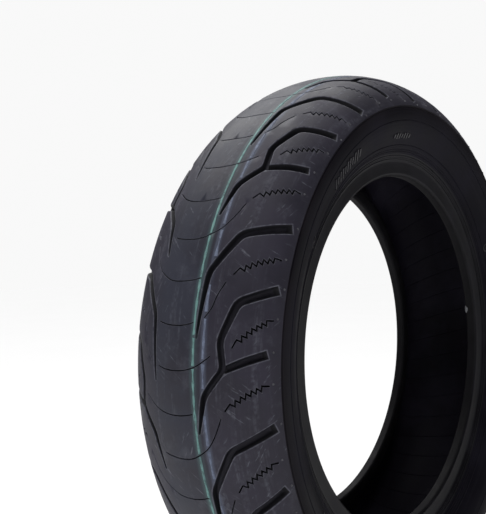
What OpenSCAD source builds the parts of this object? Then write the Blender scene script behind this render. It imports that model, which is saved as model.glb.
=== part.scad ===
// Tubeless scooter and motorcycle tyre, size 130/70-12, built of bias plies.
// The axle line is the Y axis, the middle of the tyre is the origin and +Z is up.
// A section point is [radius, offset from the middle plane]; positive offsets are on the -Y side.
// A line of the section is a list of [point, unit normal], with normals that point away from the air.

/* [Size] */
// Overall diameter over the crown
outer_d = 487; // [484:1:490]
// Diameter of the rim seats that the two beads grip
seat_d = 304; // [303.6:0.2:304.4]
// Distance between the outer faces of the beads
bead_span = 91.7; // [91.2:0.1:92.2]

/* [Crown] */
// Radius of the crown across the middle of the tread
crown_r = 104.5; // [102:0.5:107]
// How much the crown tightens towards the shoulders, in millionths per cubic millimetre
tightening = 2.6; // [2.4:0.1:2.8]
// Arc length between the points of the crown section; the layers end at whole numbers of it
arc_step = 6; // [5.95:0.05:6]

/* [Layers] */
// Thickness of the tread cap rubber
cap_gauge = 6.8; // [6.4:0.1:7.2]
// Thickness of the rubber base under the cap
base_gauge = 1.2; // [1:0.1:1.4]
// Thickness of one breaker strip
breaker_gauge = 0.8; // [0.7:0.05:0.9]
// Thickness of one carcass ply
ply_gauge = 0.75; // [0.65:0.05:0.8]
// Thickness of the airtight liner
liner_gauge = 1.2; // [1:0.1:1.4]

/* [Bead] */
// Diameter of one bead wire
wire_d = 0.95; // [0.9:0.01:0.98]
// Distance between neighbouring bead wires
wire_pitch = 1.02; // [1:0.01:1.03]
// Thickness of the fabric wrapped round the wires
wrap_gauge = 0.3; // [0.25:0.01:0.3]
// Thickness of the chafer on the sides of the bead
chafer_gauge = 0.6; // [0.5:0.05:0.7]

/* [Tread pattern] */
// Depth of the grooves
groove_depth = 5.4; // [5:0.1:5.6]
// How far each bend of a groove is cut back
groove_bend = 4; // [3:0.5:5]
// How many times the pattern repeats round the tyre
pitches = 10; // [10:1:10]
// Angle of the first pattern repeat
pattern_start = 150.2; // [0:0.1:360]
// Turn between the patterns of the two sides
side_stagger = 7.2; // [7:0.1:7.4]

/* [Paint marks] */
// Thickness of the paint
paint_gauge = 0.2; // [0.15:0.01:0.25]
// Arc from the middle plane to the middle of the green line
green_arc = 16.9; // [16.8:0.05:16.95]
// Width of the green line
green_width = 1.8; // [1.4:0.1:1.8]
// Arc from the middle plane to the middle of the violet line
violet_arc = 24.9; // [24.9:0.1:26]
// Width of the violet line
violet_width = 1.6; // [1:0.1:1.6]
// Angle round the axle that the dab on the right bead takes up
dab_turn = 2.4; // [2:0.1:3]
// Place of the dab round the axle
dab_angle = 10; // [0:1:360]

/* [Hidden] */
$fn = 180;

LEFT = -1;
RIGHT = 1;

// Steps of arc from the middle plane to the edge of each crown layer
edge_steps = 13;
cap_floor_steps = 12;
base_steps = 11;
breaker_inner_steps = 10;
breaker_outer_steps = 9;

// Depths below the crown at which the layers begin
base_top = cap_gauge;
breaker_outer_top = base_top + base_gauge;
breaker_inner_top = breaker_outer_top + breaker_gauge;
carcass_top = breaker_inner_top + breaker_gauge;

// ---- Small helpers ----
function total(v) = v * [for (x = v) 1];
function reverse(v) = [for (i = [len(v) - 1:-1:0]) v[i]];
function mix(a, b, t) = a + (b - a) * t;
function slice(v, from, to) = [for (i = [from:to]) v[i]];
function unit(v) = v / norm(v);
function left_normal(d) = unit([d[1], -d[0]]);
function across(points) = [for (p = points) [p[0], -p[1]]];
function bezier(p, t) =
    pow(1 - t, 3) * p[0] + 3 * t * pow(1 - t, 2) * p[1] + 3 * t * t * (1 - t) * p[2] + pow(t, 3) * p[3];
function bezier_slope(p, t) =
    pow(1 - t, 2) * (p[1] - p[0]) + 2 * t * (1 - t) * (p[2] - p[1]) + t * t * (p[3] - p[2]);

// ---- Crown: its curvature is 1/crown_r in the middle and grows with the square of the arc ----
function turn(s) = (s / crown_r + tightening * 1e-6 * pow(s, 3) / 3) * 180 / PI;
SUM_STEPS = 16;
function crown_offset(s) = total([for (i = [0.5:SUM_STEPS]) cos(turn(s * i / SUM_STEPS))]) * s / SUM_STEPS;
function crown_drop(s) = total([for (i = [0.5:SUM_STEPS]) sin(turn(s * i / SUM_STEPS))]) * s / SUM_STEPS;
function crown(s, depth = 0) =
    [outer_d / 2 - crown_drop(s) - depth * cos(turn(s)), crown_offset(s) - depth * sin(turn(s))];
function crown_line(from, to, depth) = [for (i = [from:to]) crown(i * arc_step, depth)];
// A point between two points of the faceted crown
function on_facet(s, depth) =
    let (i = floor(s / arc_step))
    mix(crown(i * arc_step, depth), crown((i + 1) * arc_step, depth), s / arc_step - i);

// ---- Bead: a square bundle of wires with its wrap, above the rim seat ----
seat_r = seat_d / 2;
heel = bead_span / 2;
wires_across = 4;
wire_facets = 24;
bundle_slack = 0.09;
bundle = (wires_across - 1) * wire_pitch + wire_d + 2 * wrap_gauge + bundle_slack;
rim_strip_gauge = 0.9;
bundle_out = heel - rim_strip_gauge - chafer_gauge - 2 * ply_gauge;
bundle_in = bundle_out - bundle;
bundle_low = seat_r + chafer_gauge + 2 * ply_gauge;
bundle_high = bundle_low + bundle;
corner_r = 0.9;
toe = bundle_in - 2 * ply_gauge - chafer_gauge;

// ---- Outer flank: from the tread edge down to the bead face ----
tread_edge = crown(edge_steps * arc_step);
flank_foot = [seat_r + 11.5, heel + 0.55];
flank_curve = [tread_edge, [seat_r + 36, tread_edge[1] + 2], [seat_r + 19, heel + 1.6], flank_foot];
FLANK_STEPS = 12;
rim_strip_step = 9;
function flank(from, to) = [for (i = [from:to]) bezier(flank_curve, i / FLANK_STEPS)];

// ---- Carcass line: the outer face of the outer ply, from the middle of the crown to the bead ----
carcass_turn = crown(breaker_inner_steps * arc_step, carcass_top);
belly = [seat_r + 43, tread_edge[1] - 5.6];
shoulder_pull = 12;
shoulder_way = [-sin(turn(breaker_inner_steps * arc_step)), cos(turn(breaker_inner_steps * arc_step))];
shoulder_curve = [carcass_turn, carcass_turn + shoulder_pull * shoulder_way, belly + [9, 0], belly];
lower_curve = [belly, belly - [11, 1.2], [bundle_high + 9, bundle_in + 1], [bundle_high, bundle_in]];
SHOULDER_STEPS = 6;
LOWER_STEPS = 10;
function along(curve, steps) =
    [for (i = [1:steps]) [bezier(curve, i / steps), left_normal(bezier_slope(curve, i / steps))]];
function corner(centre, from) =
    [for (a = [0:30:90])
        let (way = [sin(a + from), cos(a + from)])
        [centre - corner_r * way, way]];

crown_part = [for (i = [0:breaker_inner_steps])
    [crown(i * arc_step, carcass_top), [cos(turn(i * arc_step)), sin(turn(i * arc_step))]]];
shoulder_part = along(shoulder_curve, SHOULDER_STEPS);
lower_part = along(lower_curve, LOWER_STEPS);
under_bead = concat(corner([bundle_low + corner_r, bundle_in + corner_r], 0),
                    corner([bundle_low + corner_r, bundle_out - corner_r], 90));

// The plies turn up outside the bead, past a filler that thins to a skim of gum
skim = 0.35;
filler_tip = 5;
filler_fullness = 0.8;
function filler_gauge(i) =
    i <= filler_tip ? skim : bundle * pow((i - filler_tip) / (LOWER_STEPS - filler_tip), filler_fullness);
function turn_up(i) = let (q = lower_part[i - 1]) [q[0] + filler_gauge(i) * q[1], -q[1]];
function turn_ups(from, to) = [for (i = [from:-1:to]) turn_up(i)];
ply_outer_end = 4;
ply_inner_end = 6;
chafer_end = 8;

main_line = concat(crown_part, shoulder_part, lower_part);
belly_index = breaker_inner_steps + SHOULDER_STEPS;
function lower_index(i) = belly_index + i;
function shift(line, d) = [for (q = line) q[0] + d * q[1]];
// A band between two shifts of a half line, closed across the middle plane
function whole_band(line, d1, d2) =
    concat(reverse(across(shift(slice(line, 1, len(line) - 1), d1))), shift(line, d1),
           reverse(shift(line, d2)), across(shift(slice(line, 1, len(line) - 1), d2)));
function ply_line(end) = concat(main_line, under_bead, turn_ups(LOWER_STEPS, end));

// ---- Sections of the layers ----
function crown_band(steps, top, bottom) =
    concat(crown_line(-steps, steps, top), reverse(crown_line(-steps, steps, bottom)));
function cap_section() =
    concat(crown_line(-edge_steps, edge_steps, 0),
           reverse(crown_line(-cap_floor_steps, cap_floor_steps, base_top)));
cushion_end = breaker_inner_steps + 3;
function cushion_section() =
    concat(crown_line(breaker_outer_steps, base_steps, breaker_outer_top),
           reverse(shift(slice(main_line, breaker_inner_steps, cushion_end), 0)),
           reverse(crown_line(breaker_outer_steps, breaker_inner_steps, breaker_inner_top)));
function sidewall_section() =
    concat(flank(0, rim_strip_step),
           [turn_up(ply_inner_end)[0] - 2 * ply_gauge * turn_up(ply_inner_end)[1]],
           shift(turn_ups(ply_inner_end, ply_outer_end), -ply_gauge),
           [turn_up(ply_outer_end)[0]],
           reverse(shift(slice(main_line, cushion_end, lower_index(ply_outer_end)), 0)),
           [crown(base_steps * arc_step, breaker_outer_top), crown(base_steps * arc_step, base_top),
            crown(cap_floor_steps * arc_step, base_top)]);
heel_foot = [seat_r + 1.1, heel - rim_strip_gauge];
heel_curve = [[seat_r + 2.6, heel], [seat_r + 1.5, heel - 0.35], heel_foot];
toe_curve = [[seat_r + 3.5, toe], [seat_r + 1.4, toe + 0.35], [seat_r + 0.35, toe + 1.2],
             [seat_r, toe + 2.2]];
seat_curve = [[seat_r, heel - 1.95], [seat_r + 0.35, heel - 1.25], heel_foot];
chafer_corner = [bundle_high, bundle_out + 2 * ply_gauge + chafer_gauge];
function rim_strip_section() =
    concat(flank(rim_strip_step, FLANK_STEPS),
           heel_curve,
           [chafer_corner],
           shift(turn_ups(LOWER_STEPS - 1, chafer_end), -2 * ply_gauge - chafer_gauge),
           shift(turn_ups(chafer_end, ply_inner_end), -2 * ply_gauge));
function chafer_section() =
    let (end = lower_index(chafer_end), bead = lower_index(LOWER_STEPS))
    concat(shift(slice(main_line, end, bead), -2 * ply_gauge - chafer_gauge),
           toe_curve,
           seat_curve,
           [chafer_corner],
           shift(turn_ups(LOWER_STEPS - 1, chafer_end), -2 * ply_gauge - chafer_gauge),
           reverse(shift(concat(slice(main_line, end, bead), under_bead, turn_ups(LOWER_STEPS, chafer_end)),
                         -2 * ply_gauge)));
function filler_section() =
    concat(shift(slice(main_line, lower_index(ply_outer_end), lower_index(LOWER_STEPS)), 0),
           shift(turn_ups(LOWER_STEPS, ply_outer_end), 0));
function wrap_outline(inset) =
    concat(shift(under_bead, inset),
           [[bundle_high - inset, bundle_out - inset], [bundle_high - inset, bundle_in + inset]]);

// ---- Sweeps ----
module on_axle() {
    rotate([90, 0, 0])
        children();
}

module swept(section) {
    on_axle()
        rotate_extrude()
            polygon(section);
}

function on_side(section, side) = side == RIGHT ? section : across(section);

// ---- Tread pattern: each groove is a list of [angle, arc from the middle plane, width] ----
groove_a = [[2.4, 72.7, 7], [5.7, 40.3, 6], [12.7, 22.7, 5], [23.4, 18.7, 2]];
groove_b = [[14.2, 72.7, 6.5], [17.3, 46.3, 6], [23.7, 36.1, 5], [28.2, 38.9, 5], [32.5, 24.9, 5],
            [38.6, 19.2, 2]];
groove_c = [[25.6, 68.6, 6], [26.9, 53, 5.8], [28.2, 38.9, 5.5]];

function arc_mm(angle, s) = angle * PI / 180 * crown(s)[0];
// The middle line of a groove, with each bend cut back by groove_bend
function bent(p) =
    concat([p[0]],
        [for (i = [1:len(p) - 2], next = [-1, 1])
            let (run = p[i + next] - p[i], length = norm([arc_mm(run[0], p[i][1]), run[1]]))
            p[i] + run * min(groove_bend / length, most_cut_back)],
        [p[len(p) - 1]]);
// The edge of a groove on one side of its middle line, still as [angle, arc]
function groove_edge(p, side) =
    [for (i = [0:len(p) - 1])
        let (a = p[max(i - 1, 0)], b = p[min(i + 1, len(p) - 1)],
             way = [arc_mm(b[0] - a[0], p[i][1]), b[1] - a[1]],
             out = side * p[i][2] / 2 * left_normal(way))
        [p[i][0] + out[0] / arc_mm(1, p[i][1]), p[i][1] + out[1]]];

clearance = 2;
most_cut_back = 0.4;

module groove_prism(path, side) {
    points = bent(path);
    middle = (path[0][0] + path[len(path) - 1][0]) / 2;
    outline = concat(groove_edge(points, 1), reverse(groove_edge(points, -1)));
    rotate(middle)
        rotate([90, 0, 90])
            translate([0, 0, seat_r])
                linear_extrude(height = outer_d / 2 - seat_r + 2 * clearance)
                    polygon([for (q = outline)
                        [crown(q[1])[0] * sin(q[0] - middle), side * crown(q[1])[1]]]);
}

module groove_prisms() {
    for (side = [RIGHT, LEFT], k = [0:pitches - 1])
        rotate(pattern_start + k * 360 / pitches + (side == LEFT ? side_stagger : 0))
            for (path = [groove_a, groove_b, groove_c])
                groove_prism(path, side);
}

module grooves() {
    on_axle()
        intersection() {
            rotate_extrude()
                polygon(crown_band(edge_steps, -clearance, groove_depth));
            groove_prisms();
        }
}

// ---- Sub-parts ----
module tread_cap() {
    color("#4a4d59")
        difference() {
            swept(cap_section());
            grooves();
        }
}

module tread_base() {
    color("#33343a")
        swept(crown_band(base_steps, base_top, breaker_outer_top));
}

module breaker_outer() {
    color("#8a7a5c")
        swept(crown_band(breaker_outer_steps, breaker_outer_top, breaker_inner_top));
}

module breaker_inner() {
    color("#7d6e54")
        swept(crown_band(breaker_inner_steps, breaker_inner_top, carcass_top));
}

module carcass_ply_outer() {
    color("#6e6350")
        swept(whole_band(ply_line(ply_outer_end), 0, -ply_gauge));
}

module carcass_ply_inner() {
    color("#665c4b")
        swept(whole_band(ply_line(ply_inner_end), -ply_gauge, -2 * ply_gauge));
}

module inner_liner() {
    color("#1f2023")
        swept(whole_band(slice(main_line, 0, lower_index(chafer_end)),
                         -2 * ply_gauge, -2 * ply_gauge - liner_gauge));
}

module sidewall(side) {
    color("#232427")
        swept(on_side(sidewall_section(), side));
}

module shoulder_cushion(side) {
    color("#2d2d31")
        swept(on_side(cushion_section(), side));
}

module rim_strip(side) {
    color("#1d1e20")
        swept(on_side(rim_strip_section(), side));
}

module chafer(side) {
    color("#3a3833")
        swept(on_side(chafer_section(), side));
}

module bead_filler(side) {
    color("#151517")
        swept(on_side(filler_section(), side));
}

module bead_wrap(side) {
    color("#5a5346")
        difference() {
            swept(on_side(wrap_outline(0), side));
            swept(on_side(wrap_outline(wrap_gauge), side));
        }
}

module bead_wires(side) {
    first = (bundle - (wires_across - 1) * wire_pitch) / 2;
    color("#a8793f")
        on_axle()
            for (i = [0:wires_across - 1], j = [0:wires_across - 1])
                rotate_extrude()
                    translate([bundle_low + first + i * wire_pitch,
                               side * (bundle_in + first + j * wire_pitch)])
                        circle(d = wire_d, $fn = wire_facets);
}

function paint_section(arc, width) =
    let (from = arc - width / 2, to = arc + width / 2)
    [on_facet(from, 0), on_facet(to, 0), on_facet(to, -paint_gauge), on_facet(from, -paint_gauge)];

// The green line is broken where sipes cross it
green_breaks = 2 * pitches;
green_gap = 0.25;

module green_line() {
    color("#6fb0a6")
        on_axle()
            for (k = [0:green_breaks - 1])
                rotate(pattern_start + k * 360 / green_breaks)
                    rotate_extrude(angle = 360 / green_breaks - green_gap)
                        polygon(paint_section(green_arc, green_width));
}

module violet_line() {
    color("#8790b4")
        difference() {
            swept(paint_section(violet_arc, violet_width));
            grooves();
        }
}

dab_direction = [-1, -0.35];

module bead_mark() {
    under_dab = slice(toe_curve, 1, 3);
    color("#d9dade")
        on_axle()
            rotate(dab_angle - dab_turn / 2)
                rotate_extrude(angle = dab_turn)
                    polygon(concat(under_dab,
                                   reverse([for (p = under_dab) p + paint_gauge * dab_direction])));
}

tread_cap();
tread_base();
breaker_outer();
breaker_inner();
carcass_ply_outer();
carcass_ply_inner();
inner_liner();
sidewall(LEFT);  // sidewall_left
sidewall(RIGHT);  // sidewall_right
shoulder_cushion(LEFT);  // shoulder_cushion_left
shoulder_cushion(RIGHT);  // shoulder_cushion_right
rim_strip(LEFT);  // rim_strip_left
rim_strip(RIGHT);  // rim_strip_right
chafer(LEFT);  // chafer_left
chafer(RIGHT);  // chafer_right
bead_filler(LEFT);  // bead_filler_left
bead_filler(RIGHT);  // bead_filler_right
bead_wrap(LEFT);  // bead_wrap_left
bead_wrap(RIGHT);  // bead_wrap_right
bead_wires(LEFT);  // bead_wires_left
bead_wires(RIGHT);  // bead_wires_right
green_line();
violet_line();
bead_mark();
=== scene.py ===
import math
import random
from itertools import product

import bpy
import numpy as np
from mathutils import Matrix, Vector
from mathutils.geometry import delaunay_2d_cdt


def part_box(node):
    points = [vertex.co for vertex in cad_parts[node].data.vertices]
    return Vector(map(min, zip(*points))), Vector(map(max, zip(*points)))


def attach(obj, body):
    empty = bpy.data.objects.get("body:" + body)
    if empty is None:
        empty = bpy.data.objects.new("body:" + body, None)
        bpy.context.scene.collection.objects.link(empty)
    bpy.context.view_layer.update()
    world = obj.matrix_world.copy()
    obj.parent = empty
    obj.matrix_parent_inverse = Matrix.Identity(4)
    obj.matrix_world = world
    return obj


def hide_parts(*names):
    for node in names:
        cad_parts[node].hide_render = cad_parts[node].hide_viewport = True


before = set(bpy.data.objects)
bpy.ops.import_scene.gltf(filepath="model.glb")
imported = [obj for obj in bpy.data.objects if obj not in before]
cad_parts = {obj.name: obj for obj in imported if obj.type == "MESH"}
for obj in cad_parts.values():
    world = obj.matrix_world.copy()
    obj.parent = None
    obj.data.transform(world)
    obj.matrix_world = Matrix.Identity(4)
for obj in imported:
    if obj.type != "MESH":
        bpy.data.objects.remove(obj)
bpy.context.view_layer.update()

# Lengths are in millimetres and angles in degrees until a mesh is made.
# A place on the tyre is (angle round the axle, arc across the crown).
# Positive arcs and offsets lie on the right, -Y, side.
MM = 0.001
LEFT, RIGHT = -1, 1
OUTER_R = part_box("tread_cap")[1].x / MM
SEAT_R = 152.0
HEEL = 45.85
SEGMENTS = 240


# ---------------------------------------------------------------- crown
# The crown's radius at the middle, and how fast its curve tightens towards the shoulders
CROWN_R = 104.5
TIGHTENING = 2.6e-6
ARCS = np.linspace(0.0, 80.0, 1601)
# The cap's edge, its thickness, and where its floor ends
EDGE_ARC = 78.0
CAP_GAUGE = 6.8
CAP_FLOOR_ARC = 72.0
CAP_FLOOR_ROWS = 13


def crown_turn(arc):
    """Slope of the crown at an arc from the middle, in radians."""
    return arc / CROWN_R + TIGHTENING * arc ** 3 / 3


def running_sum(values):
    """The integral of values given at each of ARCS."""
    return np.concatenate([[0.0], np.cumsum((values[1:] + values[:-1]) / 2)]) * ARCS[1]


OFFSETS = running_sum(np.cos(crown_turn(ARCS)))
DROPS = running_sum(np.sin(crown_turn(ARCS)))


def crown(arc, depth=0.0):
    """Radius and sideways offset of a point under the crown."""
    reach = np.abs(arc)
    turn = crown_turn(reach)
    radius = OUTER_R - np.interp(reach, ARCS, DROPS) - depth * np.cos(turn)
    offset = np.interp(reach, ARCS, OFFSETS) - depth * np.sin(turn)
    return radius, np.sign(arc) * offset


def mm_per_degree(arc):
    """Millimetres round the tyre to one degree, at an arc."""
    return crown(arc)[0] * math.pi / 180


def unit(vectors):
    return vectors / np.linalg.norm(vectors, axis=-1, keepdims=True)


def in_space(angle, radius, offset):
    """Points in millimetres, from angle round the axle, radius and sideways offset."""
    turn = np.radians(angle)
    turn, radius, offset = np.broadcast_arrays(turn, radius, offset)
    return np.stack([radius * np.cos(turn), -offset, radius * np.sin(turn)], axis=-1)


def on_crown(angle, arc, depth=0.0):
    """Points on the crown, or at a depth under it."""
    radius, offset = crown(arc, depth)
    return in_space(angle, radius, offset)


def crown_normal(angle, arc):
    """The way out from the crown."""
    turn = crown_turn(np.abs(arc)) * np.sign(arc)
    return in_space(angle, np.cos(turn), np.sin(turn))


# ---------------------------------------------------------------- meshes
def linked(name, data):
    """An object in the scene that shows a mesh, a lamp or a camera."""
    thing = bpy.data.objects.new(name, data)
    bpy.context.scene.collection.objects.link(thing)
    return thing


def new_piece(name, points, faces, material, slot, normals=None, smooth=True):
    """A mesh object from points in millimetres, riding on the tyre."""
    mesh = bpy.data.meshes.new(name)
    mesh.from_pydata((np.asarray(points) * MM).tolist(), [], faces)
    mesh.validate()
    mesh.polygons.foreach_set("use_smooth", [smooth] * len(mesh.polygons))
    mesh.materials.append(material)
    if normals is not None:
        mesh.normals_split_custom_set_from_vertices(normals.tolist())
    mesh.update()
    piece = linked(name, mesh)
    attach(piece, "root")
    return piece


def sharpen(piece, degrees):
    """Edges that turn by more than this look sharp."""
    piece.data.set_sharp_from_angle(angle=math.radians(degrees))


def lathe_faces(rings, columns, closed=True):
    """Quads between rings of points; if closed, the last ring meets the first."""
    faces = []
    for i in range(rings if closed else rings - 1):
        below, above = i * columns, (i + 1) % rings * columns
        for j in range(columns):
            k = (j + 1) % columns
            faces.append((below + j, below + k, above + k, above + j))
    return faces


def circle(across, up, count):
    """Directions all round, in the plane of two unit vectors."""
    turns = [2 * math.pi * k / count for k in range(count)]
    return [across * math.cos(turn) + up * math.sin(turn) for turn in turns]


def mound_faces(rings, sectors):
    """Faces of a middle point with rings of points round it, closed by a flat underside."""
    faces = [(0, 1 + k, 1 + (k + 1) % sectors) for k in range(sectors)]
    faces += [tuple(1 + i for i in reversed(f)) for f in lathe_faces(rings, sectors, closed=False)]
    return faces + [tuple(range(rings * sectors, (rings - 1) * sectors, -1))]


def joined(parts):
    """The points and faces of many small closed shapes in one mesh."""
    points, faces = [], []
    for part_points, part_faces in parts:
        faces.extend(tuple(i + len(points) for i in f) for f in part_faces)
        points.extend(part_points)
    return points, faces


def lathe(name, section, side, material, slot, sharp=30.0, segments=SEGMENTS):
    """A ring swept round the axle from a closed section of (radius, offset) points."""
    section = np.asarray(section, float)
    angles = np.arange(segments) * 360 / segments
    points = in_space(angles[None, :], section[:, :1], side * section[:, 1:])
    faces = lathe_faces(len(section), segments)
    if side == LEFT:
        faces = [f[::-1] for f in faces]
    piece = new_piece(name, points.reshape(-1, 3), faces, material, slot)
    sharpen(piece, sharp)
    return piece


# ---------------------------------------------------------------- tread pattern
PITCHES = 10
PITCH = 360 / PITCHES
PATTERN_START = 150.2
STAGGER = 7.2
GROOVE_DEPTH = 5.4
SIPE_DEPTH = 3.2
CENTRE_SIPE_DEPTH = 2.6

# Wall profiles: how deep the cut is at a distance inside its edge
GROOVE_WALL = ([-0.9, -0.35, 0.0, 0.3, 1.1, 1.6], [0.0, 0.04, 0.16, 0.9, 4.8, GROOVE_DEPTH])
SIPE_WALL = ([-0.15, 0.0, 0.15, 0.4], [0.0, 0.12, 1.2, SIPE_DEPTH])
CENTRE_WALL = ([-0.12, 0.0, 0.12, 0.3], [0.0, 0.1, 0.9, CENTRE_SIPE_DEPTH])
# A square foot's slope: how far a place counts as inside, at a run along the groove
FOOT_RUN = ([-0.9, 0.3, 1.6], [-0.9, 0.3, 4.5])
OUTSIDE = -99.0
# The least half width that still gets an outline; how far a round start reaches, as a share of its half
# width, and how far its nose reaches, as a share of that
NARROWEST = 0.06
ROUND_START = 0.7
ROUND_NOSE = 1.45

# Middle lines of the wide grooves: (angle, arc, width), from the shoulder towards the middle
GROOVES = [
    [(2.4, 72.7, 7.0), (5.7, 40.3, 6.0), (12.7, 22.7, 5.0), (23.4, 18.7, 2.0)],
    [(14.2, 72.7, 6.5), (17.3, 46.3, 6.0), (23.7, 36.1, 5.0), (28.2, 38.9, 5.0), (32.5, 24.9, 5.0),
     (38.6, 19.2, 2.0)],
    [(25.6, 68.6, 6.0), (26.9, 53.0, 5.8), (28.2, 40.5, 5.2)],
]
ZIGZAGS = [((12.7, 40.6), (8.8, 70.6)), ((24.6, 44.8), (19.7, 71.2)), ((34.8, 39.6), (31.0, 69.6))]
ZIGZAG_TEETH = 13
ZIGZAG_SPAN = (0.14, 0.86)
ZIGZAG_SWING = 1.85
ZIGZAG_BOW = 2.0
ZIGZAG_WIDTH = 1.4
# Right halves of the five arcs that cross the middle, one for each STAGGER of turn
HALF_ARCS = [
    [(-0.2, 9.8), (-0.5, 15.0)],
    [(7.0, 9.6), (6.1, 18.0), (4.8, 25.4), (2.5, 31.7), (0.1, 36.1)],
    [(14.2, 9.8), (13.8, 16.4)],
    [(21.4, 9.8), (21.0, 15.4)],
    [(28.6, 9.6), (28.0, 18.0), (27.1, 24.3), (26.1, 29.8)],
]
SHORT_SIPE = [(20.1, 23.8), (18.5, 28.5), (16.5, 31.2), (14.1, 36.1)]
CENTRE_SIPE_WIDTH = 0.9
# How far from a corner a groove's bend starts
BEND = 4.0


def smooth_line(points, step):
    """Points along a smooth curve through the given ones, about a step apart."""
    points = np.asarray(points, float)
    padded = np.concatenate([points[:1], points, points[-1:]])
    out = []
    for a, b, c, d in zip(padded, padded[1:], padded[2:], padded[3:]):
        length = math.hypot((c[0] - b[0]) * mm_per_degree(b[1]), c[1] - b[1])
        count = max(2, round(length / step))
        t = (np.arange(count) / count)[:, None]
        out.append(b + (c - a) * t / 2 + (2 * a - 5 * b + 4 * c - d) * t ** 2 / 2
                   + (3 * b - a - 3 * c + d) * t ** 3 / 2)
    return np.concatenate(out + [points[-1:]])


def bent_line(points, step):
    """Points along straight runs that meet in short rounded bends."""
    points = np.asarray(points, float)
    scale = mm_per_degree(points[:, 1])
    corners = []
    for i in range(1, len(points) - 1):
        for other in (i - 1, i + 1):
            run = points[other] - points[i]
            length = math.hypot(run[0] * scale[i], run[1])
            corners.append(points[i] + run * min(BEND / length, 0.4))
    stops = np.array([points[0], *corners, points[-1]])
    out = []
    for i in range(0, len(stops) - 1, 2):
        a, b = stops[i], stops[i + 1]
        count = max(1, round(math.hypot((b[0] - a[0]) * mm_per_degree(a[1]), b[1] - a[1]) / step))
        out.extend(a + (b - a) * k / count for k in range(count))
        if i + 2 < len(stops):
            c, middle = stops[i + 2], points[i // 2 + 1]
            out.extend((1 - t) ** 2 * b + 2 * t * (1 - t) * middle + t * t * c for t in (0.0, 0.33, 0.67))
    return np.array([*out, points[-1]])


def zigzag_line(start, end):
    """A straight lead-in, teeth that swing to both sides of the line, and a straight lead-out."""
    start, end = np.array(start), np.array(end)
    t = np.linspace(*ZIGZAG_SPAN, ZIGZAG_TEETH)[:, None]
    line = start + (end - start) * t
    scale = mm_per_degree(line[:, 1])
    way = unit(np.stack([(end[0] - start[0]) * scale, np.full(ZIGZAG_TEETH, end[1] - start[1])], axis=1))
    swing = ZIGZAG_SWING * (-1.0) ** np.arange(ZIGZAG_TEETH)
    line[:, 0] -= (swing * way[:, 1] + ZIGZAG_BOW * np.sin(math.pi * t[:, 0])) / scale
    line[:, 1] += swing * way[:, 0]
    return np.concatenate([[start], line, [end]])


class Cut:
    """A groove or sipe: its middle line, half widths and wall, with a sloping foot if it ends square."""

    def __init__(self, line, halves, wall, square_foot=False):
        self.line = np.asarray(line, float)[:, :2]
        self.halves = np.asarray(halves, float)
        self.wall = wall
        self.square_foot = square_foot

    def copied(self, turn, side):
        """The same cut further round the tyre, or mirrored to the left side."""
        line = self.line * [1, side] + [turn, 0]
        return Cut(line, self.halves, self.wall, self.square_foot)

    def inset(self, places):
        """How far inside the cut's edge each (angle, arc) place is, in millimetres."""
        scale = mm_per_degree(places[:, 1])
        best = np.full(len(places), OUTSIDE)
        for i in range(len(self.line) - 1):
            a, b = self.line[i], self.line[i + 1]
            px, py = (places[:, 0] - a[0]) * scale, places[:, 1] - a[1]
            bx, by = (b[0] - a[0]) * scale, b[1] - a[1]
            t = np.clip((px * bx + py * by) / (bx * bx + by * by), 0, 1)
            half = self.halves[i] + (self.halves[i + 1] - self.halves[i]) * t
            best = np.maximum(best, half - np.hypot(px - t * bx, py - t * by))
        if self.square_foot:
            a, b = self.line[0], self.line[1]
            way = unit(np.array([(b[0] - a[0]) * mm_per_degree(a[1]), b[1] - a[1]]))
            run = (places[:, 0] - a[0]) * scale * way[0] + (places[:, 1] - a[1]) * way[1]
            best = np.minimum(best, np.interp(run, FOOT_RUN[1], FOOT_RUN[0], left=OUTSIDE))
        return best

    def depth(self, places):
        """How deep the cut is at each (angle, arc) place."""
        return np.interp(self.inset(places), *self.wall)

    def ring(self, inset):
        """The closed outline at a distance inside the edge, or None where the cut is too narrow."""
        wide = self.halves - inset > NARROWEST
        line, halves = self.line[wide], self.halves[wide] - inset
        if len(line) < 2:
            return None
        scale = mm_per_degree(line[:, 1])
        ahead = unit(np.diff(line, axis=0) * np.stack([scale[1:], np.ones(len(line) - 1)], axis=1))
        way = unit(np.concatenate([ahead[:1], ahead[:-1] + ahead[1:], ahead[-1:]]))
        bend = np.concatenate([[1.0], np.clip((ahead[1:] * way[1:-1]).sum(axis=1), 0.4, 1.0), [1.0]])
        out = np.stack([-way[:, 1], way[:, 0]], axis=1) * (halves / bend)[:, None]
        start, end = -halves[0] * ROUND_START, halves[-1]
        if self.square_foot:
            start = np.interp(inset, *FOOT_RUN)
        across = np.stack([1 / scale, np.ones(len(line))], axis=1)
        left, right = line + out * across, line - out * across
        left[0] += way[0] * start * across[0]
        right[0] += way[0] * start * across[0]
        tip = line[-1] + way[-1] * end * across[-1]
        nose = [] if self.square_foot else [line[0] + way[0] * (start * ROUND_NOSE) * across[0]]
        return np.array([*left, tip, *right[::-1], *nose])


def right_cuts():
    """The cuts that lie on one side only, placed for the right side's first pitch."""
    cuts = []
    for groove in GROOVES:
        line = bent_line(groove, 3.0)
        cuts.append(Cut(line, line[:, 2] / 2, GROOVE_WALL, square_foot=True))
    for start, end in ZIGZAGS:
        line = zigzag_line(start, end)
        cuts.append(Cut(line, np.full(len(line), ZIGZAG_WIDTH / 2), SIPE_WALL))
    line = smooth_line(SHORT_SIPE, 3.0)
    cuts.append(Cut(line, np.full(len(line), CENTRE_SIPE_WIDTH / 2), CENTRE_WALL))
    return cuts


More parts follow.
